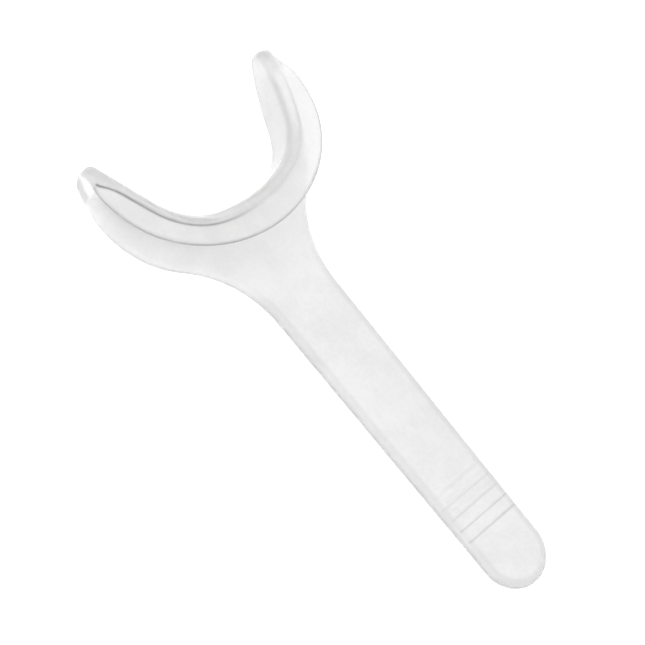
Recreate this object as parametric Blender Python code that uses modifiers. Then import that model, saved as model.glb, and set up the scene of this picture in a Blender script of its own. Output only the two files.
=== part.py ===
"""Hand-held cheek retractor: a C-shaped lip channel on a flat handle.

Metres, +Z up.  The retractor lies on its flat underside, the handle runs along +X
and the two horns of the C point along -X.  The origin is at the centre of the footprint.
The moulding is modelled in its regions: handle, neck, outer flange, web and inner flange.
"""

import math

import bmesh
import bpy
from mathutils import Vector

# Driving dimensions
GAP = 0.0003                        # clearance left between neighbouring regions
STEP = 0.0016                       # longest straight facet along an outline

HANDLE_END_X = 0.0699               # round end of the handle
HANDLE_END_RADIUS = 0.0090
HANDLE_FOOT_HALF_WIDTH = 0.0098     # half width where the neck begins
HANDLE_THICKNESS = 0.0030
HANDLE_EDGE_RADIUS = 0.0012

RIB_COUNT = 5                       # cross ribs of the thumb grip
RIB_PITCH = 0.0032
RIB_FROM_END = 0.0179               # from the handle's end to the nearest rib
RIB_RADIUS = 0.0009
RIB_HEIGHT = 0.00045                # how far a rib stands above the handle
RIB_MARGIN = 0.0016                 # from a rib's end to the handle's side

NECK_FILLET_RADIUS = 0.029
NECK_WING_TRIM = 0.0060             # the neck's thin wings stop short of their cusp

FLANGE_THICKNESS = 0.0020           # outer flange
FLANGE_UNDERSIDE = 0.0005           # it lies in the middle of the handle's thickness
FLANGE_CENTRE_X = -0.0563
FLANGE_HALF_LENGTH = 0.0260
FLANGE_HALF_WIDTH = 0.0304
FLANGE_TIP_SIDE = 0.0520            # half length of its oval beyond the widest point
FLANGE_END_X = -0.0610
FLANGE_EDGE_RADIUS = 0.0008
EDGE_SHARE = 0.4                    # most of the flange's width that its edge may take
SOCKET_SCALE = 1.06                 # the neck's socket lies within the flange's oval, scaled

MOUTH_X = -0.0420                   # deepest point of the C's open mouth
MOUTH_ARCS = (                      # tangent arcs from there to a tip: radius, turn
    (0.0400, math.radians(13.0)),
    (0.0175, math.radians(50.8)),
    (0.0900, math.radians(12.5)),
)
HORN_TIP_X = -0.0699
WEB_THICKNESS = 0.0019
WEB_HEIGHT = 0.0142
WEB_LOWER_BEND = 0.0023             # outer radii where it turns into the two flanges
WEB_UPPER_BEND = 0.0026
LEAST_BEND = 1.02                   # least outer bend radius, in web thicknesses
WEB_STATIONS = 71
BEND_FACETS = 4

CONVERGE_X = -0.0558                # beyond this the channel closes towards the tips
TIP_UNDERSIDE = 0.0070
TIP_TOP = 0.0114

RIM_CENTRE_X = -0.0596              # rim of the inner flange
RIM_HALF_WIDTH = 0.0315
RIM_HANDLE_SIDE = 0.0271            # half length of the oval, towards the handle
RIM_TIP_SIDE = 0.0160               # and towards the horn tips
RIM_END_X = -0.0634
RIM_HEIGHT = 0.0154                 # top of the rim over the neck
RIM_END_HEIGHT = 0.0126             # top of the rim near the horn tips
INNER_FLANGE_THICKNESS = 0.0018
RIM_THICKNESS = 0.0014
FLANGE_STATIONS = 57

CLEAR_PLASTIC = (0.86, 0.87, 0.88, 1.0)
ROUGHNESS = 0.32

WELD = 0.00001                      # points closer than this are one point
FLAT_TURN = math.radians(0.2)       # faces that turn less than this are one face
SMOOTH_TURN = math.radians(35)      # faces that turn less than this are shaded smooth
EDGE_TURN = math.radians(60)        # edges that turn more than this can be rounded
EDGE_SLOPE = 0.2                    # and climb less than this share of their length
EDGE_SEGMENTS = 3
RIB_SIDES = 20
BISECTIONS = 40


def clear_scene():
    for obj in list(bpy.data.objects):
        bpy.data.objects.remove(obj, do_unlink=True)


def new_collection(name):
    collection = bpy.data.collections.new(name)
    bpy.context.scene.collection.children.link(collection)
    return collection


def plastic(name):
    material = bpy.data.materials.new(name)
    material.use_nodes = True
    shader = material.node_tree.nodes["Principled BSDF"]
    shader.inputs["Base Color"].default_value = CLEAR_PLASTIC
    shader.inputs["Roughness"].default_value = ROUGHNESS
    shader.inputs["Metallic"].default_value = 0.0
    return material


# Plane curves: lists of 2D vectors, from the plane of symmetry to the +Y side

def arc_chain(start, heading, arcs):
    """Points along tangent arcs that all turn left."""
    points = [Vector(start)]
    for radius, turn in arcs:
        count = math.ceil(radius * turn / STEP)
        half_turn = turn / count / 2
        chord = 2 * radius * math.sin(half_turn)
        for _ in range(count):
            heading += half_turn
            points.append(points[-1] + chord * Vector((math.cos(heading), math.sin(heading))))
            heading += half_turn
    return points


def oval_arc(centre_x, half_length, half_width, start, end):
    """Points on an ellipse between two parameter angles."""
    count = math.ceil(abs(end - start) * max(half_length, half_width) / STEP)
    angles = [start + (end - start) * i / count for i in range(count + 1)]
    return [Vector((centre_x + half_length * math.cos(a), half_width * math.sin(a))) for a in angles]


def until_x(points, limit):
    """The first stretch of a curve that runs towards -X, ended exactly at x = limit."""
    kept = [points[0]]
    for point in points[1:]:
        if point.x <= limit:
            before = kept[-1]
            kept.append(before.lerp(point, (before.x - limit) / (before.x - point.x)))
            break
        kept.append(point)
    return kept


def resample(points, count):
    """Evenly spaced points along a curve."""
    lengths = [0.0]
    for before, after in zip(points, points[1:]):
        lengths.append(lengths[-1] + (after - before).length)
    result = []
    segment = 0
    for i in range(count):
        target = lengths[-1] * i / (count - 1)
        while segment < len(points) - 2 and lengths[segment + 1] < target:
            segment += 1
        share = (target - lengths[segment]) / (lengths[segment + 1] - lengths[segment])
        result.append(points[segment].lerp(points[segment + 1], min(share, 1.0)))
    return result


def mirrored(points):
    """The curve's reflection in the plane of symmetry, running back to that plane."""
    return [Vector((p.x, -p.y)) for p in reversed(points)]


def both_sides(points):
    """The whole curve, from its -Y end to its +Y end."""
    return mirrored(points)[:-1] + points


def mouth_curve():
    """Edge of the open mouth, from its deepest point to beyond a horn tip."""
    return arc_chain((MOUTH_X, 0.0), math.pi / 2, MOUTH_ARCS)


def rim_curve():
    """Free edge of the inner flange: two quarter ovals that meet at the widest point."""
    handle_side = oval_arc(RIM_CENTRE_X, RIM_HANDLE_SIDE, RIM_HALF_WIDTH, 0.0, math.pi / 2)
    tip_side = oval_arc(RIM_CENTRE_X, RIM_TIP_SIDE, RIM_HALF_WIDTH, math.pi / 2, math.pi)
    return until_x(handle_side + tip_side[1:], RIM_END_X)


def flange_curve():
    """Free edge of the outer flange, again two quarter ovals."""
    handle_side = oval_arc(FLANGE_CENTRE_X, FLANGE_HALF_LENGTH, FLANGE_HALF_WIDTH, 0.0, math.pi / 2)
    tip_side = oval_arc(FLANGE_CENTRE_X, FLANGE_TIP_SIDE, FLANGE_HALF_WIDTH, math.pi / 2, math.pi)
    return until_x(handle_side + tip_side[1:], FLANGE_END_X)


def converge(x):
    """0 along most of the channel, rising smoothly to 1 at the horn tips."""
    return max(0.0, (CONVERGE_X - x) / (CONVERGE_X - HORN_TIP_X)) ** 2


def underside(x):
    return FLANGE_UNDERSIDE + (TIP_UNDERSIDE - FLANGE_UNDERSIDE) * converge(x)


def web_top(x):
    return WEB_HEIGHT + (TIP_TOP - WEB_HEIGHT) * converge(x)


def rim_top(x):
    """The rim is highest over the neck and comes down towards the horn tips."""
    highest_x = RIM_CENTRE_X + RIM_HANDLE_SIDE
    share = (highest_x - x) / (highest_x - RIM_END_X)
    return RIM_HEIGHT + share * (RIM_END_HEIGHT - RIM_HEIGHT)


def bends(x):
    """Lower and upper bend radii of the web, which shrink to its thickness at the tips."""
    least = LEAST_BEND * WEB_THICKNESS
    share = converge(x)
    return (WEB_LOWER_BEND + share * (least - WEB_LOWER_BEND),
            WEB_UPPER_BEND + share * (least - WEB_UPPER_BEND))


def flange_point(angle):
    return Vector((FLANGE_CENTRE_X + FLANGE_HALF_LENGTH * math.cos(angle),
                   FLANGE_HALF_WIDTH * math.sin(angle)))


def flange_normal(angle):
    return Vector((math.cos(angle) / FLANGE_HALF_LENGTH,
                   math.sin(angle) / FLANGE_HALF_WIDTH)).normalized()


def neck_fillet():
    """Tangency angle on the flange's oval and centre of the fillet to the handle's side."""
    low, high = 0.0, math.pi / 2
    for _ in range(BISECTIONS):
        angle = (low + high) / 2
        centre = flange_point(angle) + NECK_FILLET_RADIUS * flange_normal(angle)
        if centre.y < HANDLE_FOOT_HALF_WIDTH + NECK_FILLET_RADIUS:
            low = angle
        else:
            high = angle
    return angle, centre


# Solids

def prism(name, outline, bottom, top, collection):
    """A flat closed outline, extruded from z = bottom to z = top."""
    curve = bpy.data.curves.new(name, "CURVE")
    curve.dimensions = "2D"
    curve.fill_mode = "BOTH"
    curve.extrude = (top - bottom) / 2
    spline = curve.splines.new("POLY")
    spline.points.add(len(outline) - 1)
    for target, point in zip(spline.points, outline):
        target.co = (point.x, point.y, 0.0, 1.0)
    spline.use_cyclic_u = True
    drawing = bpy.data.objects.new(name + "_drawing", curve)
    drawing.location.z = (top + bottom) / 2
    collection.objects.link(drawing)
    bpy.context.view_layer.update()
    return mesh_from_curve(name, drawing, collection)


def mesh_from_curve(name, drawing, collection):
    evaluated = drawing.evaluated_get(bpy.context.evaluated_depsgraph_get())
    mesh = bpy.data.meshes.new_from_object(evaluated)
    mesh.transform(drawing.matrix_world)
    mesh.name = name
    work = bmesh.new()
    work.from_mesh(mesh)
    bmesh.ops.remove_doubles(work, verts=work.verts, dist=WELD)
    bmesh.ops.dissolve_limit(work, angle_limit=FLAT_TURN, verts=work.verts, edges=work.edges)
    bmesh.ops.recalc_face_normals(work, faces=work.faces)
    work.to_mesh(mesh)
    work.free()
    bpy.data.objects.remove(drawing)
    obj = bpy.data.objects.new(name, mesh)
    collection.objects.link(obj)
    return obj


def finish(obj, material):
    obj.data.materials.clear()
    obj.data.materials.append(material)
    obj.data.shade_smooth()
    obj.data.set_sharp_from_angle(angle=SMOOTH_TURN)


def round_outline(obj, radius, is_cut):
    """Rounds the upper and lower edges of a plate, except along its cut faces."""
    mesh = obj.data
    weights = mesh.attributes.new("bevel_weight_edge", "FLOAT", "EDGE")
    neighbours = {}
    for polygon in mesh.polygons:
        for key in polygon.edge_keys:
            neighbours.setdefault(key, []).append(polygon.normal)
    for edge in mesh.edges:
        first, second = (mesh.vertices[i].co for i in edge.vertices)
        normals = neighbours[edge.key]
        turns = normals[0].angle(normals[1]) > EDGE_TURN
        level = abs(first.z - second.z) < EDGE_SLOPE * (first - second).length
        if turns and level and not is_cut((first + second) / 2):
            weights.data[edge.index].value = 1.0
    bevel = obj.modifiers.new("rounded_outline", "BEVEL")
    bevel.limit_method = "WEIGHT"
    bevel.width = radius
    bevel.segments = EDGE_SEGMENTS
    bevel.use_clamp_overlap = True


def boolean(obj, other, operation):
    modifier = obj.modifiers.new(operation.lower() + "_" + other.name, "BOOLEAN")
    modifier.operation = operation
    modifier.solver = "EXACT"
    modifier.object = other


def as_guide(obj):
    obj.hide_render = True
    obj.display_type = "WIRE"


def make_rib(index, cutters):
    x = HANDLE_END_X - RIB_FROM_END - index * RIB_PITCH
    length = 2 * (handle_half_width(x) - RIB_MARGIN)
    bpy.ops.mesh.primitive_cylinder_add(
        vertices=RIB_SIDES, radius=RIB_RADIUS, depth=length,
        location=(x, 0.0, HANDLE_THICKNESS + RIB_HEIGHT - RIB_RADIUS),
        rotation=(math.pi / 2, 0.0, 0.0))
    rib = bpy.context.active_object
    rib.name = f"rib_{index + 1}"
    for collection in list(rib.users_collection):
        collection.objects.unlink(rib)
    cutters.objects.link(rib)
    as_guide(rib)
    return rib


def handle_half_width(x):
    """The handle narrows evenly from the neck to the start of its round end."""
    foot = neck_fillet()[1].x
    end = HANDLE_END_X - HANDLE_END_RADIUS
    share = (x - foot) / (end - foot)
    return HANDLE_FOOT_HALF_WIDTH + share * (HANDLE_END_RADIUS - HANDLE_FOOT_HALF_WIDTH)


def make_handle(parts, cutters):
    foot = neck_fillet()[1].x + GAP
    end = oval_arc(HANDLE_END_X - HANDLE_END_RADIUS, HANDLE_END_RADIUS, HANDLE_END_RADIUS,
                   -math.pi / 2, math.pi / 2)
    root = handle_half_width(foot)
    outline = [Vector((foot, -root))] + end + [Vector((foot, root))]
    handle = prism("handle", outline, 0.0, HANDLE_THICKNESS, parts)
    round_outline(handle, HANDLE_EDGE_RADIUS, lambda middle: middle.x < foot + GAP)
    for index in range(RIB_COUNT):
        boolean(handle, make_rib(index, cutters), "UNION")
    finish(handle, plastic("handle_plastic"))


def neck_side():
    """The +Y side of the neck: its socket round the flange, then the fillet to the handle."""
    angle, centre = neck_fillet()
    mean_radius = (FLANGE_HALF_LENGTH + FLANGE_HALF_WIDTH) / 2
    last = angle - NECK_WING_TRIM / mean_radius
    count = math.ceil(last * FLANGE_HALF_WIDTH / STEP)
    socket = []
    for i in range(count + 1):
        a = last * i / count
        socket.append(flange_point(a) + GAP * flange_normal(a))
    normal = flange_normal(angle)
    start = math.pi + math.atan2(normal.y, normal.x) + NECK_WING_TRIM / NECK_FILLET_RADIUS
    end = 3 * math.pi / 2
    count = math.ceil((end - start) * NECK_FILLET_RADIUS / STEP)
    fillet = []
    for i in range(count + 1):
        a = start + (end - start) * i / count
        fillet.append(centre + NECK_FILLET_RADIUS * Vector((math.cos(a), math.sin(a))))
    return socket, fillet


def make_neck(parts):
    """The plate between the outer flange and the handle, with a concave fillet each side."""
    socket, fillet = neck_side()
    side = socket + fillet
    neck = prism("neck", side + mirrored(side)[:-1], 0.0, HANDLE_THICKNESS, parts)
    foot_x = fillet[-1].x
    taper(neck, socket[-1].x, foot_x)

    def is_cut(middle):
        return middle.x > foot_x - GAP or in_socket(middle)

    round_outline(neck, FLANGE_EDGE_RADIUS, is_cut)
    finish(neck, plastic("neck_plastic"))


def in_socket(point):
    along = (point.x - FLANGE_CENTRE_X) / FLANGE_HALF_LENGTH
    across = point.y / FLANGE_HALF_WIDTH
    return along ** 2 + across ** 2 < SOCKET_SCALE


def taper(obj, thin_x, thick_x):
    """Thins a plate evenly from the handle's thickness down to the outer flange's."""
    for vertex in obj.data.vertices:
        share = (vertex.co.x - thin_x) / (thick_x - thin_x)
        if vertex.co.z > HANDLE_THICKNESS / 2:
            thin_z, thick_z = FLANGE_UNDERSIDE + FLANGE_THICKNESS, HANDLE_THICKNESS
        else:
            thin_z, thick_z = FLANGE_UNDERSIDE, 0.0
        vertex.co.z = thin_z + share * (thick_z - thin_z)


def normals_along(points):
    """Unit normals that point away from the mouth."""
    result = []
    for i in range(len(points)):
        along = points[min(i + 1, len(points) - 1)] - points[max(i - 1, 0)]
        result.append(Vector((along.y, -along.x)).normalized())
    return result


def loft(name, sections, collection):
    """A solid through closed sections with equal point counts, flat at both ends."""
    work = bmesh.new()
    rings = [[work.verts.new(point) for point in section] for section in sections]
    for ring, following in zip(rings, rings[1:]):
        for i in range(len(ring)):
            j = (i + 1) % len(ring)
            work.faces.new((ring[i], ring[j], following[j], following[i]))
    work.faces.new(rings[0])
    work.faces.new(rings[-1])
    bmesh.ops.recalc_face_normals(work, faces=work.faces)
    mesh = bpy.data.meshes.new(name)
    work.to_mesh(mesh)
    work.free()
    obj = bpy.data.objects.new(name, mesh)
    collection.objects.link(obj)
    return obj


def bend(centre, radius, start, end):
    """Points on a quarter circle in a section's plane: distance from the mouth, height."""
    points = []
    for i in range(BEND_FACETS + 1):
        angle = start + (end - start) * i / BEND_FACETS
        points.append((centre[0] + radius * math.cos(angle), centre[1] + radius * math.sin(angle)))
    return points


def web_section(x):
    """The web's section: a wall with a quarter bend at its foot and another at its top."""
    low, high = underside(x), web_top(x)
    lower, upper = bends(x)
    foot = (lower, low + lower)
    head = (upper, high - upper)
    half, quarter = math.pi, math.pi / 2
    mouth_side = bend(foot, lower, 3 * quarter, half) + bend(head, upper, half, quarter)
    channel_side = bend(head, upper - WEB_THICKNESS, quarter, half)
    channel_side += bend(foot, lower - WEB_THICKNESS, half, 3 * quarter)
    return mouth_side + channel_side


def make_web(parts):
    """The C-shaped wall that the lip rests against, from horn tip to horn tip."""
    line = resample(both_sides(until_x(mouth_curve(), HORN_TIP_X)), WEB_STATIONS)
    sections = []
    for point, normal in zip(line, normals_along(line)):
        if point.x < HORN_TIP_X + GAP:
            normal = Vector((0.0, math.copysign(1.0, point.y)))
        section = []
        for distance, height in web_section(point.x):
            place = point + distance * normal
            section.append((place.x, place.y, height))
        sections.append(section)
    finish(loft("web", sections, parts), plastic("web_plastic"))


def flange_roots(which_bend, end_x):
    """Where a flange begins, a clearance away from the end of the web's lower or upper bend."""
    half = until_x(mouth_curve(), HORN_TIP_X)
    normals = normals_along(half)
    normals[0] = Vector((1.0, 0.0))
    moved = [p + (bends(p.x)[which_bend] + GAP) * n for p, n in zip(half, normals)]
    return resample(both_sides(until_x(moved, end_x)), FLANGE_STATIONS)


def make_outer_flange(parts):
    """The crescent that stays outside the lips, in the middle of the handle's thickness."""
    roots = flange_roots(0, FLANGE_END_X)
    edges = resample(both_sides(flange_curve()), FLANGE_STATIONS)
    sections = []
    for root, edge in zip(roots, edges):
        root_low, edge_low = underside(root.x), underside(edge.x)
        inset = root.lerp(edge, 1.0 - min(EDGE_SHARE, FLANGE_EDGE_RADIUS / (edge - root).length))
        inset_low = underside(inset.x)
        sections.append([
            (root.x, root.y, root_low),
            (inset.x, inset.y, inset_low),
            (edge.x, edge.y, edge_low + FLANGE_EDGE_RADIUS),
            (edge.x, edge.y, edge_low + FLANGE_THICKNESS - FLANGE_EDGE_RADIUS),
            (inset.x, inset.y, inset_low + FLANGE_THICKNESS),
            (root.x, root.y, root_low + FLANGE_THICKNESS),
        ])
    finish(loft("outer_flange", sections, parts), plastic("outer_flange_plastic"))


def make_inner_flange(parts):
    """The crescent that goes behind the lip, from the top of the web out to its rim."""
    roots = flange_roots(1, RIM_END_X)
    rims = resample(both_sides(rim_curve()), FLANGE_STATIONS)
    sections = []
    for root, rim in zip(roots, rims):
        root_top, edge_top = web_top(root.x), rim_top(rim.x)
        sections.append([
            (root.x, root.y, root_top - INNER_FLANGE_THICKNESS),
            (rim.x, rim.y, edge_top - RIM_THICKNESS),
            (rim.x, rim.y, edge_top),
            (root.x, root.y, root_top),
        ])
    finish(loft("inner_flange", sections, parts), plastic("inner_flange_plastic"))


def main():
    clear_scene()
    parts = new_collection("cheek_retractor")
    cutters = new_collection("cutters")
    make_handle(parts, cutters)
    make_neck(parts)
    make_outer_flange(parts)
    make_web(parts)
    make_inner_flange(parts)


main()
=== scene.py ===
"""Cheek retractor, one clear plastic moulding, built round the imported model.

Metres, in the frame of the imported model: the handle runs along +X, the two horns point
along -X, +Z is up and the handle lies on z = 0.  The whole moulding is one seamless mesh.
"""

import math

import bpy
import numpy as np
from mathutils import Matrix, Vector
from mathutils.kdtree import KDTree


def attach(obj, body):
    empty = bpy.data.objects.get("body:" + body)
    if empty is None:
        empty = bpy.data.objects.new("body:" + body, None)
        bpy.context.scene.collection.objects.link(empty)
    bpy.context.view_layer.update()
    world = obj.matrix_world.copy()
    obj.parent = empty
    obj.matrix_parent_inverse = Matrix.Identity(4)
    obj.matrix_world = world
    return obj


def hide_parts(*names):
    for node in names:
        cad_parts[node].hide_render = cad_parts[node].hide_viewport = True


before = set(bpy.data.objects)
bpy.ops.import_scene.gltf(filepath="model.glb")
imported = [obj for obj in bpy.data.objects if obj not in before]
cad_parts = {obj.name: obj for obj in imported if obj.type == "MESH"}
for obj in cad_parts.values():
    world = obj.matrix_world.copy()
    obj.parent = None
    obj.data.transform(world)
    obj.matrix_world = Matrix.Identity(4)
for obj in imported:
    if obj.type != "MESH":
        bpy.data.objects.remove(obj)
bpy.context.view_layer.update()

# Handle
HANDLE_END_X = 0.0699
HANDLE_END_RADIUS = 0.0090
HANDLE_FOOT_HALF_WIDTH = 0.0098
HANDLE_THICKNESS = 0.0030
HANDLE_EDGE = 0.0017                # how far in the rounded edge reaches
PLATE_STATIONS = 160                # along one side of the neck and handle
ROUND_END_STATIONS = 40             # along half of the round end

# Thumb grip
RIB_COUNT = 5
RIB_PITCH = 0.0032
RIB_FROM_END = 0.0179
RIB_RADIUS = 0.0009
RIB_HEIGHT = 0.0004                 # above the handle's face
RIB_MARGIN = 0.0016                 # from a rib's end to the handle's edge
RIB_SINK_FROM = 0.88                # share of a rib's half length where it starts to sink
RIB_SINK = 1.4                      # how deep its end sinks, in rib heights
RIB_SIDES = 24
RIB_STATIONS = 9
RIB_X = [HANDLE_END_X - RIB_FROM_END - index * RIB_PITCH for index in range(RIB_COUNT)]
RIB_MIDDLE_X = (RIB_X[0] + RIB_X[-1]) / 2
RIB_ZONE = (RIB_X[0] - RIB_X[-1]) / 2 + 2 * RIB_RADIUS

# Neck
NECK_FILLET_RADIUS = 0.029
FILLET_HALVINGS = 50                # of the angle where the fillet may touch the flange
PLATE_ROOT_X = -0.0369              # the handle's plate reaches this far into the head

# Outer flange
FLANGE_THICKNESS = 0.0020
FLANGE_UNDERSIDE = 0.0005
FLANGE_EDGE = 0.0011                # how far in the rounded edge reaches
FLANGE_CENTRE_X = -0.0563
FLANGE_HALF_LENGTH = 0.0260
FLANGE_TIP_SIDE = 0.0290
FLANGE_HALF_WIDTH = 0.0304

# Web
MOUTH_X = -0.0420
MOUTH_ARCS = ((0.0400, 13.0), (0.0175, 50.8), (0.0900, 12.5))    # radius, degrees
MOUTH_STEP = 0.00005
WEB_THICKNESS = 0.0019
WEB_HEIGHT = 0.0142
WEB_LOWER_BEND = 0.0023
WEB_UPPER_BEND = 0.0026
CHANNEL_FILLET = 0.0006
FILLET_SHARE = 0.4                  # most of the channel's height or depth that a fillet takes
EDGE_SHARE = 0.6                    # most of its depth that the flange's rounded edge takes

# Horn tips
HORN_TIP_X = -0.0699
TIP_CLEARANCE = 0.00002             # the last section stays this far short of the tip
CONVERGE_X = -0.0558
CONVERGE_LIMIT = 1.1                # a section reaches a little beyond its own station
TIP_UNDERSIDE = 0.0070
TIP_TOP = 0.0114
TIP_WIDTH = 0.0040
TIP_BEND = 0.0013
TIP_BLEND = 0.0050                  # over this the flanges' edges ease into the tip's sides
TIP_ROUND = 0.0020                  # length of the rounded end
TIP_POWER = 2.5                     # a true ellipse would have 2
TIP_LEAST_SCALE = 0.02              # of the very last section
REACH_LIMIT = 0.020                 # no free edge lies further than this from the mouth
REACH_HALVINGS = 30
CHANNEL_END_X = -0.0652
CHANNEL_CLOSING = 0.0030            # length over which the channel closes
CHANNEL_LIP = 0.00025               # what is left of its depth beyond that

# Inner flange
CUSP_X = -0.0656                    # the fold's and the rim's lines meet here
RIM_CENTRE_X = -0.0596
RIM_HALF_WIDTH = 0.0312
RIM_HANDLE_SIDE = 0.0271
RIM_TIP_SIDE = 0.0160
RIM_HEIGHT = 0.0154
RIM_END_X = -0.0634
RIM_END_HEIGHT = 0.0126
RIM_TO_TIP_X = RIM_END_X + 0.004    # from here the rim's height eases into the tip's
RIM_THICKNESS = 0.0014
RIM_EDGE = 0.0005
INNER_FLANGE_THICKNESS = 0.0018
FOLD_AT = 0.0032                    # the bead along the mouth stands above the flange up to here
FOLD_STEP = 0.00045
FOLD_LENGTH = 0.0003
FOLD_RUN_OUT = 0.0070               # over this it curves out to meet the rim at the cusp
FOLD_RUN_OUT_POWER = 4
FOLD_CLEARANCE = 0.0012             # the step fades where the rim comes this near

# Mesh
HALF_HEAD_STATIONS = 120
BEND_FACETS = 8
EDGE_FACETS = 6
FOLD_INDEX = 2 * (BEND_FACETS + 1) + 1                     # foot of the step in a section
RIM_INDEX = FOLD_INDEX + EDGE_FACETS + 1                   # outermost point of its rim
VOXEL = 0.00028
SMOOTH_FACTOR = 0.5
SMOOTH_ROUNDS = 4
TRUE_FROM_X = -0.0285               # between these the plate's exact surface takes over
TRUE_TO_X = -0.0255
TINY = 1e-9                         # keeps a division away from zero

# Painted shade lines, and the handle's darkening: how far each one spreads, and where it fades
FOLD_SHADE = 0.00030
FOLD_FADE_FROM_Y = -0.015           # the fold's painted shade line is full on the -Y horn and fades out from here
FOLD_FADE_TO_Y = 0.002
RIM_SHADE = 0.0005
LINE_STATIONS = 500                 # along half of the fold or the rim
EDGE_SHADE = 0.0020
EDGE_SHADE_POWER = 8                 # an even band with a soft inner side
EDGE_SHADE_FROM_X = -0.0180          # the edge's painted shade band is fully there from here on
LOWER_EDGE_SHARE = 0.5              # of the edge's painted shade that is left on the underside
WALL_FADE = 0.0004
MOUTH_THINNING = 4                  # every so many points of the mouth's line are enough
RIB_SHADE = 0.00025
RIB_SHADE_FADE = 0.28                # each rib's painted shade line away from the handle's end is fainter
DARKENING_FROM_X = -0.040                # the base colour darkens from the head to the handle
DARKENING_TO_X = -0.005

# Plastic
TRANSMISSION = 0.56
REFRACTION = 1.5
ROUGHNESS = (0.14, 0.24)
ROUGHNESS_NOISE = (0.35, 0.65)      # the part of the clouds' noise that gives it
BUMP_STRENGTH = 0.25
BUMP_DISTANCE = 0.00004
VOLUME_LEVEL = 0.90
VOLUME_DENSITY = 10.0
NOISE_SPAN = (0.4, 0.6)             # the part of a noise that changes the base colour
NOISES = {                          # scale, detail, stretch, darkest base colour
    "clouds": (170.0, 4.0, (1.0, 1.0, 1.0), 0.96),
    "patches": (55.0, 2.0, (0.6, 1.0, 1.0), 0.98),
    "grain": (1100.0, 3.0, (1.0, 1.0, 1.0), 0.975),
}
DARKENING_LEVELS = {                     # base colour left where a painted shade line, or the handle's darkening, is full
    "fold_painted_shade": 0.16,
    "rim_painted_shade": 0.50,
    "edge_painted_shade": 0.89,
    "wall_painted_shade": 0.92,
    "handle_darkening": 0.925,
    "rib_painted_shade": 0.72,
}

# Stage
FLOOR_SIZE = 3.0
FLOOR_DROP = 0.0001                 # keeps it clear of the handle's underside
FLOOR_LEVEL = 0.45
FLOOR_GLOW = 0.88
FLOOR_ROUGHNESS = 0.9
FLOOR_SPECULAR = 0.1
SKY_LEVELS = ((0.0, 0.99), (0.7, 0.96))                    # height in the sky, level
KEY_PLACE = (-0.7, -0.5, 1.0)
KEY_SIZE = 0.8
KEY_POWER = 2.5

# Camera, in the frame of the model
ROLL = math.radians(31.0)           # the object is seen from this far round its handle
PITCH = math.radians(3.0)           # and from this far towards the handle's end
TURN = math.radians(-50.74)         # turn of the handle in the picture
DISTANCE = 0.600
TARGET = Vector((-0.0088, -0.0003, 0.0015))
FIELD = 0.15212                     # width of the picture's field at the target
SENSOR = 36.0
CLIP_START = 0.01


def share_of(value, start, end):
    """How far a value is from start to end, held within 0 and 1."""
    return np.clip((value - start) / (end - start), 0.0, 1.0)


def smoothstep(value, start, end):
    share = share_of(value, start, end)
    return share * share * (3.0 - 2.0 * share)


# Plan: each flat region lies within |y| < its half width at x

def flange_point(angle):
    return np.array((FLANGE_CENTRE_X + FLANGE_HALF_LENGTH * math.cos(angle),
                     FLANGE_HALF_WIDTH * math.sin(angle)))


def neck_fillet():
    """Point of tangency on the flange's oval, and centre of the fillet to the handle's side."""
    low, high = 0.0, math.pi / 2
    for _ in range(FILLET_HALVINGS):
        angle = (low + high) / 2
        normal = np.array((math.cos(angle) / FLANGE_HALF_LENGTH,
                           math.sin(angle) / FLANGE_HALF_WIDTH))
        centre = flange_point(angle) + NECK_FILLET_RADIUS * normal / np.linalg.norm(normal)
        if centre[1] < HANDLE_FOOT_HALF_WIDTH + NECK_FILLET_RADIUS:
            low = angle
        else:
            high = angle
    return flange_point(angle), centre


TANGENT, FILLET_CENTRE = neck_fillet()
ROUND_END_X = HANDLE_END_X - HANDLE_END_RADIUS


def oval_half_width(x, centre_x, handle_side, tip_side, half_width):
    half_length = np.where(x > centre_x, handle_side, tip_side)
    return half_width * np.sqrt(np.clip(1.0 - ((x - centre_x) / half_length) ** 2, 0.0, 1.0))


def flange_half_width(x):
    return oval_half_width(x, FLANGE_CENTRE_X, FLANGE_HALF_LENGTH, FLANGE_TIP_SIDE,
                           FLANGE_HALF_WIDTH)


def rim_half_width(x):
    return oval_half_width(x, RIM_CENTRE_X, RIM_HANDLE_SIDE, RIM_TIP_SIDE, RIM_HALF_WIDTH)


def plate_half_width(x):
    back = np.clip(x - FILLET_CENTRE[0], -NECK_FILLET_RADIUS, 0.0)
    neck = FILLET_CENTRE[1] - np.sqrt(NECK_FILLET_RADIUS ** 2 - back ** 2)
    share = share_of(x, FILLET_CENTRE[0], ROUND_END_X)
    handle = HANDLE_FOOT_HALF_WIDTH + share * (HANDLE_END_RADIUS - HANDLE_FOOT_HALF_WIDTH)
    return np.where(x < FILLET_CENTRE[0], neck, handle)


# Heights

def converge(x):
    """0 along most of the channel, rising to 1 at the horn tips and on a little beyond them."""
    return np.clip((CONVERGE_X - x) / (CONVERGE_X - HORN_TIP_X), 0.0, CONVERGE_LIMIT) ** 2


def plate_thickening(x):
    """0 at the outer flange, 1 from the handle's foot onwards."""
    return smoothstep(x, TANGENT[0], FILLET_CENTRE[0])


def flange_bottom(x):
    return FLANGE_UNDERSIDE + (TIP_UNDERSIDE - FLANGE_UNDERSIDE) * converge(x)


def plate_bottom(x):
    return flange_bottom(x) - FLANGE_UNDERSIDE * plate_thickening(x)


def plate_top(x):
    above = HANDLE_THICKNESS - FLANGE_UNDERSIDE - FLANGE_THICKNESS
    return flange_bottom(x) + FLANGE_THICKNESS + above * plate_thickening(x)


def plate_edge(x):
    """How far in the plate's rounded edge reaches."""
    return FLANGE_EDGE + (HANDLE_EDGE - FLANGE_EDGE) * plate_thickening(x)


def web_top(x):
    return WEB_HEIGHT + (TIP_TOP - WEB_HEIGHT) * converge(x)


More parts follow.
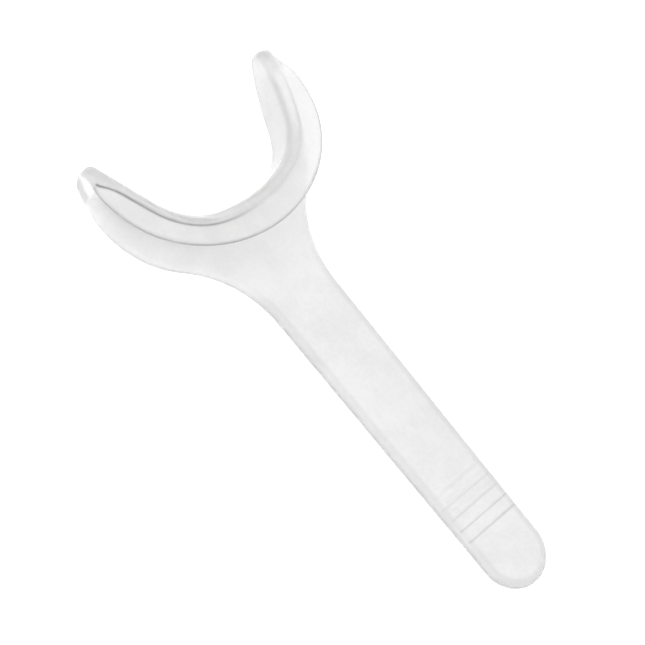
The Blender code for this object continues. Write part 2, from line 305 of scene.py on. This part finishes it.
def rim_top(x):
    highest_x = RIM_CENTRE_X + RIM_HANDLE_SIDE
    share = (highest_x - x) / (highest_x - RIM_END_X)
    height = RIM_HEIGHT + share * (RIM_END_HEIGHT - RIM_HEIGHT)
    return height + smoothstep(x, RIM_TO_TIP_X, HORN_TIP_X) * (TIP_TOP - height)


# Head: one C-shaped section, swept along the edge of the open mouth

def mouth_line():
    """Points and outward normals from the plane of symmetry to the +Y horn tip."""
    points = [np.array((MOUTH_X, 0.0))]
    headings = [math.pi / 2]
    for radius, turn in MOUTH_ARCS:
        count = round(radius * math.radians(turn) / MOUTH_STEP)
        step = math.radians(turn) / count
        for _ in range(count):
            middle = headings[-1] + step / 2
            chord = 2 * radius * math.sin(step / 2)
            points.append(points[-1] + chord * np.array((math.cos(middle), math.sin(middle))))
            headings.append(headings[-1] + step)
    points, headings = np.array(points), np.array(headings)
    normals = np.stack((np.sin(headings), -np.cos(headings)), axis=1)
    inside = points[:, 0] > HORN_TIP_X + TIP_CLEARANCE
    return points[inside], normals[inside]


def mouth_stations(count):
    """Evenly spaced points of the mouth's line, with their normals."""
    points, normals = mouth_line()
    chosen = np.linspace(0, len(points) - 1, count).round().astype(int)
    return zip(points[chosen], normals[chosen])


def reach(point, normal, width):
    """Distance from the mouth to a free edge, along the normal.

    The larger of that and the tip's width, with a smooth change from one to the other.
    """
    low, high = 0.0, REACH_LIMIT
    for _ in range(REACH_HALVINGS):
        middle = (low + high) / 2
        spot = point + middle * normal
        if spot[1] >= width(spot[0]) - MOUTH_STEP:
            high = middle
        else:
            low = middle
    near = max(TIP_BLEND - abs(low - TIP_WIDTH), 0.0) / TIP_BLEND
    return max(low, TIP_WIDTH) + near * near * TIP_BLEND / 4


def arc(centre, radii, start, end, facets):
    """Points on part of an ellipse: distance from the mouth, height."""
    angles = np.radians(np.linspace(start, end, facets + 1))
    return np.stack((centre[0] + radii[0] * np.cos(angles),
                     centre[1] + radii[1] * np.sin(angles)), axis=1)


def head_section(point, normal):
    """Closed section at one station: distance from the mouth and height, as an array."""
    x = point[0]
    share = min(float(converge(x)), 1.0)
    low, high = float(plate_bottom(x)), float(web_top(x))
    lower = WEB_LOWER_BEND + share * (TIP_BEND - WEB_LOWER_BEND)
    upper = WEB_UPPER_BEND + share * (TIP_BEND - WEB_UPPER_BEND)

    edge = reach(point, normal, flange_half_width)
    edge_x = x + edge * normal[0]
    edge_low, edge_high = float(plate_bottom(edge_x)), float(plate_top(edge_x))
    edge_middle, edge_half = (edge_low + edge_high) / 2, (edge_high - edge_low) / 2
    rim = reach(point, normal, rim_half_width)
    rim_high = float(rim_top(x + rim * normal[0]))
    rim_low = rim_high - RIM_THICKNESS

    closing = share_of(x, CHANNEL_END_X + CHANNEL_CLOSING, CHANNEL_END_X) ** 2
    wall = WEB_THICKNESS + closing * (min(edge, rim) - CHANNEL_LIP - WEB_THICKNESS)
    floor, roof = low + FLANGE_THICKNESS, high - INNER_FLANGE_THICKNESS
    depth = min(edge, rim) - wall
    largest = FILLET_SHARE * min(roof - floor, depth)
    fillet = min(CHANNEL_FILLET, largest)
    bend = min(max(lower - WEB_THICKNESS, fillet), largest)
    round_edge = min(FLANGE_EDGE, EDGE_SHARE * depth)

    run_out = share_of(x, CUSP_X + FOLD_RUN_OUT, CUSP_X) ** FOLD_RUN_OUT_POWER
    fold_limit = rim - RIM_EDGE - FOLD_LENGTH
    fold = min(FOLD_AT + run_out * max(fold_limit - FOLD_AT, 0.0), fold_limit)
    clear = FOLD_AT + FOLD_CLEARANCE
    drop = FOLD_STEP * smoothstep(rim, clear, clear + FOLD_CLEARANCE)
    return np.concatenate((
        arc((lower, low + lower), (lower, lower), 270, 180, BEND_FACETS),
        arc((upper, high - upper), (upper, upper), 180, 90, BEND_FACETS),
        np.array(((fold - FOLD_LENGTH, high), (fold, high - drop))),
        arc((rim - RIM_EDGE, rim_high - RIM_EDGE), (RIM_EDGE, RIM_EDGE), 90, 0, EDGE_FACETS),
        arc((rim - RIM_EDGE, rim_low + RIM_EDGE), (RIM_EDGE, RIM_EDGE), 0, -90, EDGE_FACETS),
        arc((wall + fillet, roof - fillet), (fillet, fillet), 90, 180, EDGE_FACETS),
        arc((wall + bend, floor + bend), (bend, bend), 180, 270, EDGE_FACETS),
        arc((edge - round_edge, edge_middle), (round_edge, edge_half), 90, -90, 2 * EDGE_FACETS),
    ))


def head_sections():
    """The closed sections in order, from the -Y horn tip to the +Y one."""
    half = []
    for point, normal in mouth_stations(HALF_HEAD_STATIONS + 1):
        section = head_section(point, normal)
        left = (point[0] - HORN_TIP_X) / TIP_ROUND
        if left < 1.0:
            scale = max(1.0 - (1.0 - left) ** TIP_POWER, 0.0) ** (1 / TIP_POWER)
            middle = (section.max(axis=0) + section.min(axis=0)) / 2
            section = middle + max(scale, TIP_LEAST_SCALE) * (section - middle)
        place = point + section[:, :1] * normal
        half.append(np.concatenate((place, section[:, 1:]), axis=1))
    other = [ring * (1.0, -1.0, 1.0) for ring in reversed(half[1:])]
    return other + half


def head_lines():
    """Points along the foot of the fold's step and along the rim's edge, on both horns."""
    fold, rim = [], []
    for point, normal in mouth_stations(LINE_STATIONS):
        if point[0] < CUSP_X:
            break
        section = head_section(point, normal)
        for line, (out, up) in ((fold, section[FOLD_INDEX]), (rim, section[RIM_INDEX])):
            place = point + out * normal
            line += [(place[0], place[1], up), (place[0], -place[1], up)]
    return fold, rim


def loft(name, rings):
    """A closed object through rings of equal length, with flat ends."""
    size = len(rings[0])
    faces = []
    for r in range(len(rings) - 1):
        for i in range(size):
            j = (i + 1) % size
            faces.append((r * size + i, r * size + j, (r + 1) * size + j, (r + 1) * size + i))
    faces.append(tuple(range(size))[::-1])
    faces.append(tuple(range((len(rings) - 1) * size, len(rings) * size)))
    mesh = bpy.data.meshes.new(name)
    mesh.from_pydata([tuple(vertex) for vertex in np.concatenate(rings)], [], faces)
    mesh.validate()
    obj = bpy.data.objects.new(name, mesh)
    bpy.context.scene.collection.objects.link(obj)
    return obj


# Plate: neck and handle, with rounded edges

def plate_side():
    """The +Y side of the plate from inside the head to the handle's end, with normals."""
    along = np.linspace(PLATE_ROOT_X, ROUND_END_X, PLATE_STATIONS)
    side = np.stack((along, plate_half_width(along)), axis=1)
    angles = np.linspace(math.pi / 2, 0.0, ROUND_END_STATIONS)[1:]
    end = np.stack((ROUND_END_X + HANDLE_END_RADIUS * np.cos(angles),
                    HANDLE_END_RADIUS * np.sin(angles)), axis=1)
    points = np.concatenate((side, end))
    direction = np.gradient(points, axis=0)
    normals = np.stack((-direction[:, 1], direction[:, 0]), axis=1)
    return points, normals / np.linalg.norm(normals, axis=1)[:, None]


def plate_rings():
    """Sections across the plate; the last ones close the round end."""
    profile = arc((0.0, 0.0), (1.0, 1.0), -90, 90, 2 * BEND_FACETS)
    rings = []
    for point, normal in zip(*plate_side()):
        edge = float(plate_edge(point[0]))
        side = []
        for out, up in profile:
            spot = point - (1.0 - out) * edge * normal
            low, high = float(plate_bottom(spot[0])), float(plate_top(spot[0]))
            side.append((spot[0], max(spot[1], 0.0), (low + high) / 2 + up * (high - low) / 2))
        side = np.array(side)
        rings.append(np.concatenate((side, side[::-1] * (1.0, -1.0, 1.0))))
    return rings


def rib_rings(x):
    """A low rounded bar across the thumb grip that sinks into the handle at both ends."""
    half_length = float(plate_half_width(x)) - RIB_MARGIN
    angles = np.radians(np.arange(RIB_SIDES) * 360 / RIB_SIDES)
    rings = []
    for share in np.linspace(-1.0, 1.0, 2 * RIB_STATIONS + 1):
        drop = RIB_SINK * RIB_HEIGHT * smoothstep(abs(share), RIB_SINK_FROM, 1.0)
        centre = HANDLE_THICKNESS + RIB_HEIGHT - RIB_RADIUS - drop
        rings.append(np.stack((x + RIB_RADIUS * np.cos(angles),
                               np.full(RIB_SIDES, share * half_length),
                               centre + RIB_RADIUS * np.sin(angles)), axis=1))
    return rings


def plate_outline(x, y):
    """Distance inside the plate's outline, and the plan direction that points out of it."""
    side = np.abs(y)
    slope = (HANDLE_END_RADIUS - HANDLE_FOOT_HALF_WIDTH) / (ROUND_END_X - FILLET_CENTRE[0])
    lean = math.hypot(1.0, slope)
    outwards = np.stack((np.full_like(x, -slope), np.ones_like(x)), axis=1) / lean
    distance = (plate_half_width(x) - side) / lean
    for centre, radius, sign, chosen in (
            ((ROUND_END_X, 0.0), HANDLE_END_RADIUS, 1.0, x > ROUND_END_X),
            (FILLET_CENTRE, NECK_FILLET_RADIUS, -1.0, x < FILLET_CENTRE[0])):
        arm = np.stack((x - centre[0], side - centre[1]), axis=1)
        length = np.maximum(np.linalg.norm(arm, axis=1), TINY)
        outwards[chosen] = (sign * arm / length[:, None])[chosen]
        distance[chosen] = (sign * (radius - length))[chosen]
    outwards[:, 1] *= np.where(y < 0.0, -1.0, 1.0)
    return distance, outwards


def true_up_plate(points):
    """Moves the handle's and neck's vertices exactly onto their rounded outline and flat faces."""
    x, y, z = points.T
    inside, outwards = plate_outline(x, y)
    low, high = plate_bottom(x), plate_top(x)
    middle, half = (low + high) / 2, (high - low) / 2
    edge = plate_edge(x)
    across, height = 1.0 - inside / edge, (z - middle) / half
    length = np.maximum(np.hypot(across, height), TINY)
    rounded = across > 0.0
    new_inside = np.where(rounded, edge * (1.0 - across / length), inside)
    new_z = middle + half * np.where(rounded, height / length, np.sign(height))
    target = np.stack((x, y, new_z), axis=1)
    target[:, :2] += (inside - new_inside)[:, None] * outwards
    near_rib = np.abs(x - RIB_MIDDLE_X) < RIB_ZONE
    ribbed = near_rib & (z > middle) & (inside > RIB_MARGIN - RIB_HEIGHT)
    share = np.where(ribbed, 0.0, smoothstep(x, TRUE_FROM_X, TRUE_TO_X))
    return points + share[:, None] * (target - points)


# Painted shade lines, and the handle's darkening

def distance_to(points, line):
    """Distance from each point to the nearest point of a finely divided line."""
    tree = KDTree(len(line))
    for index, spot in enumerate(line):
        tree.insert(spot, index)
    tree.balance()
    return np.array([tree.find(point)[2] for point in points])


def spread(distance, width, power=2):
    """1 on a line, falling away over a width to each side of it."""
    return np.exp(-(distance / width) ** power)


def write_darkening(mesh, points):
    """Point attributes that darken the base colour: painted shade along the fold, the rim, the
    plate's edges, the mouth's wall and the ribs' feet, and a darkening from the head to the
    handle.
    """
    x, y, z = points.T
    fold, rim = head_lines()
    inside, _ = plate_outline(x, y)
    half_mouth = mouth_line()[0][::MOUTH_THINNING]
    mouth = [(a, sign * b, 0.0) for a, b in half_mouth for sign in (1.0, -1.0)]
    from_mouth = distance_to(points * (1.0, 1.0, 0.0), mouth)
    # distance to each rib's foot on the side towards the handle's end, for the ribs' painted shade
    # lines
    from_foot = np.min([np.abs(x - rib_x - RIB_RADIUS) + index * RIB_SHADE_FADE * RIB_SHADE
                        for index, rib_x in enumerate(RIB_X)], axis=0)
    upper = z > HANDLE_THICKNESS / 2
    on_grip = upper & (inside > RIB_MARGIN / 2)
    on_plate = smoothstep(x, TRUE_FROM_X, EDGE_SHADE_FROM_X)
    side_share = np.where(upper, 1.0, LOWER_EDGE_SHARE)
    fold_shade_share = 1.0 - smoothstep(y, FOLD_FADE_FROM_Y, FOLD_FADE_TO_Y)
    band = spread(np.maximum(inside, 0.0), EDGE_SHADE, EDGE_SHADE_POWER)
    marks = {
        # painted shade: a dark line along the foot of the fold's step, full on the -Y horn only
        "fold_painted_shade": spread(distance_to(points, fold), FOLD_SHADE) * fold_shade_share,
        # painted shade: a dark line along the rim's edge
        "rim_painted_shade": spread(distance_to(points, rim), RIM_SHADE),
        # painted shade: a band along the plate's outline, weaker on the underside and fading out
        # towards the head
        "edge_painted_shade": band * on_plate * side_share,
        # painted shade: everything within FOLD_AT of the mouth's edge in plan, the web's wall and
        # bead
        "wall_painted_shade": smoothstep(from_mouth, FOLD_AT, FOLD_AT - WALL_FADE),
        # painted shade: a dark line at the foot of each rib, on the grip's upper face
        "rib_painted_shade": spread(from_foot, RIB_SHADE) * on_grip,
        # darkens the base colour from the head to the handle
        "handle_darkening": smoothstep(x, DARKENING_FROM_X, DARKENING_TO_X),
    }
    for name, values in marks.items():
        attribute = mesh.attributes.new(name, "FLOAT", "POINT")
        attribute.data.foreach_set("value", values.astype(np.float32))


def make_moulding():
    """Everything fused into one skin of even small faces, with softened inner corners."""
    solids = [loft("head", head_sections()), loft("plate", plate_rings())]
    solids += [loft(f"rib_{index + 1}", rib_rings(x)) for index, x in enumerate(RIB_X)]
    bpy.ops.object.select_all(action="DESELECT")
    for solid in solids:
        solid.select_set(True)
    bpy.context.view_layer.objects.active = solids[0]
    bpy.ops.object.join()
    moulding = solids[0]
    moulding.name = "retractor_moulding"
    moulding.data.name = "retractor_moulding"
    remesh = moulding.modifiers.new("skin", "REMESH")
    remesh.mode = "VOXEL"
    remesh.voxel_size = VOXEL
    smooth = moulding.modifiers.new("soften", "SMOOTH")
    smooth.factor = SMOOTH_FACTOR
    smooth.iterations = SMOOTH_ROUNDS
    for modifier in list(moulding.modifiers):
        bpy.ops.object.modifier_apply(modifier=modifier.name)
    mesh = moulding.data
    points = np.empty(len(mesh.vertices) * 3)
    mesh.vertices.foreach_get("co", points)
    points = true_up_plate(points.reshape(-1, 3))
    mesh.vertices.foreach_set("co", points.ravel())
    mesh.update()
    write_darkening(mesh, points)
    mesh.shade_smooth()
    return moulding


# Material

def grey(level):
    return (level, level, level, 1.0)


def scaled(nodes, links, source, from_range, to_range):
    """A value mapped linearly from one range to another, and held within the second."""
    node = nodes.new("ShaderNodeMapRange")
    for name, value in zip(("From Min", "From Max", "To Min", "To Max"), from_range + to_range):
        node.inputs[name].default_value = value
    links.new(source, node.inputs["Value"])
    return node.outputs["Result"]


def product(nodes, links, factors):
    """All the factors multiplied together."""
    result = factors[0]
    for factor in factors[1:]:
        node = nodes.new("ShaderNodeMath")
        node.operation = "MULTIPLY"
        links.new(result, node.inputs[0])
        links.new(factor, node.inputs[1])
        result = node.outputs["Value"]
    return result


def noise(nodes, links, place, scale, detail, stretch):
    mapping = nodes.new("ShaderNodeMapping")
    mapping.inputs["Scale"].default_value = stretch
    links.new(place, mapping.inputs["Vector"])
    node = nodes.new("ShaderNodeTexNoise")
    node.inputs["Scale"].default_value = scale
    node.inputs["Detail"].default_value = detail
    links.new(mapping.outputs["Vector"], node.inputs["Vector"])
    return node.outputs["Fac"]


def clear_plastic():
    """Lightly frosted clear plastic: cloudy haze, a fine grain, painted shade along its corners
    and edges, and a darker handle.
    """
    material = bpy.data.materials.new("clear_plastic_look")
    material.use_nodes = True
    nodes, links = material.node_tree.nodes, material.node_tree.links
    shader = nodes["Principled BSDF"]
    shader.inputs["Transmission Weight"].default_value = TRANSMISSION
    shader.inputs["IOR"].default_value = REFRACTION

    place = nodes.new("ShaderNodeTexCoord").outputs["Object"]
    noises, factors = {}, []
    for name, (scale, detail, stretch, darkest) in NOISES.items():
        noises[name] = noise(nodes, links, place, scale, detail, stretch)
        factors.append(scaled(nodes, links, noises[name], NOISE_SPAN, (darkest, 1.0)))
    # each attribute darkens the base colour: painted shade lines, and the handle's darkening
    for name, darkest in DARKENING_LEVELS.items():
        mark = nodes.new("ShaderNodeAttribute")
        mark.attribute_name = name
        factors.append(scaled(nodes, links, mark.outputs["Fac"], (0.0, 1.0), (1.0, darkest)))
    level = product(nodes, links, factors)
    colour = nodes.new("ShaderNodeCombineColor")
    for channel in ("Red", "Green", "Blue"):
        links.new(level, colour.inputs[channel])
    links.new(colour.outputs["Color"], shader.inputs["Base Color"])

    roughness = scaled(nodes, links, noises["clouds"], ROUGHNESS_NOISE, ROUGHNESS)
    links.new(roughness, shader.inputs["Roughness"])
    bump = nodes.new("ShaderNodeBump")
    bump.inputs["Strength"].default_value = BUMP_STRENGTH
    bump.inputs["Distance"].default_value = BUMP_DISTANCE
    links.new(noises["grain"], bump.inputs["Height"])
    links.new(bump.outputs["Normal"], shader.inputs["Normal"])
    volume = nodes.new("ShaderNodeVolumeAbsorption")
    volume.inputs["Color"].default_value = grey(VOLUME_LEVEL)
    volume.inputs["Density"].default_value = VOLUME_DENSITY
    links.new(volume.outputs["Volume"], nodes["Material Output"].inputs["Volume"])
    return material


# Stage

def make_floor():
    """A white floor that gives off light, as a light table does."""
    material = bpy.data.materials.new("floor_white")
    material.use_nodes = True
    shader = material.node_tree.nodes["Principled BSDF"]
    shader.inputs["Base Color"].default_value = grey(FLOOR_LEVEL)
    shader.inputs["Roughness"].default_value = FLOOR_ROUGHNESS
    shader.inputs["Specular IOR Level"].default_value = FLOOR_SPECULAR
    shader.inputs["Emission Color"].default_value = grey(1.0)
    shader.inputs["Emission Strength"].default_value = FLOOR_GLOW
    bpy.ops.mesh.primitive_plane_add(size=FLOOR_SIZE, location=(0.0, 0.0, -FLOOR_DROP))
    floor = bpy.context.active_object
    floor.name = "floor"
    floor.data.materials.append(material)


def make_light():
    """A nearly even white sky and one weak soft key light."""
    world = bpy.data.worlds.new("studio")
    world.use_nodes = True
    bpy.context.scene.world = world
    nodes, links = world.node_tree.nodes, world.node_tree.links
    place = nodes.new("ShaderNodeTexCoord")
    split = nodes.new("ShaderNodeSeparateXYZ")
    ramp = nodes.new("ShaderNodeValToRGB")
    for element, (position, level) in zip(ramp.color_ramp.elements, SKY_LEVELS):
        element.position = position
        element.color = grey(level)
    links.new(place.outputs["Generated"], split.inputs["Vector"])
    links.new(split.outputs["Z"], ramp.inputs["Fac"])
    links.new(ramp.outputs["Color"], nodes["Background"].inputs["Color"])
    nodes["Background"].inputs["Strength"].default_value = 1.0

    data = bpy.data.lights.new("key", "AREA")
    data.shape = "DISK"
    data.size = KEY_SIZE
    data.energy = KEY_POWER
    light = bpy.data.objects.new("key", data)
    light.location = KEY_PLACE
    light.rotation_euler = (-Vector(KEY_PLACE)).to_track_quat("-Z", "Y").to_euler()
    bpy.context.scene.collection.objects.link(light)
    bpy.context.scene.view_settings.view_transform = "Standard"


def make_camera():
    along = Vector((1.0, 0.0, 0.0))
    across = Vector((0.0, math.cos(ROLL), math.sin(ROLL)))
    towards = Vector((0.0, -math.sin(ROLL), math.cos(ROLL)))
    pitch = Matrix.Rotation(PITCH, 3, across)
    along, towards = pitch @ along, pitch @ towards
    right = math.cos(TURN) * along - math.sin(TURN) * across
    up = math.sin(TURN) * along + math.cos(TURN) * across
    data = bpy.data.cameras.new("camera")
    data.sensor_width = SENSOR
    data.lens = SENSOR * DISTANCE / FIELD
    data.clip_start = CLIP_START
    camera = bpy.data.objects.new("camera", data)
    matrix = Matrix((right, up, towards)).transposed().to_4x4()
    matrix.translation = TARGET + DISTANCE * towards
    camera.matrix_world = matrix
    bpy.context.scene.collection.objects.link(camera)
    bpy.context.scene.camera = camera


moulding = make_moulding()
moulding.data.materials.clear()
moulding.data.materials.append(clear_plastic())
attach(moulding, "root")
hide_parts("handle", "neck", "outer_flange", "web", "inner_flange")
make_floor()
make_light()
make_camera()
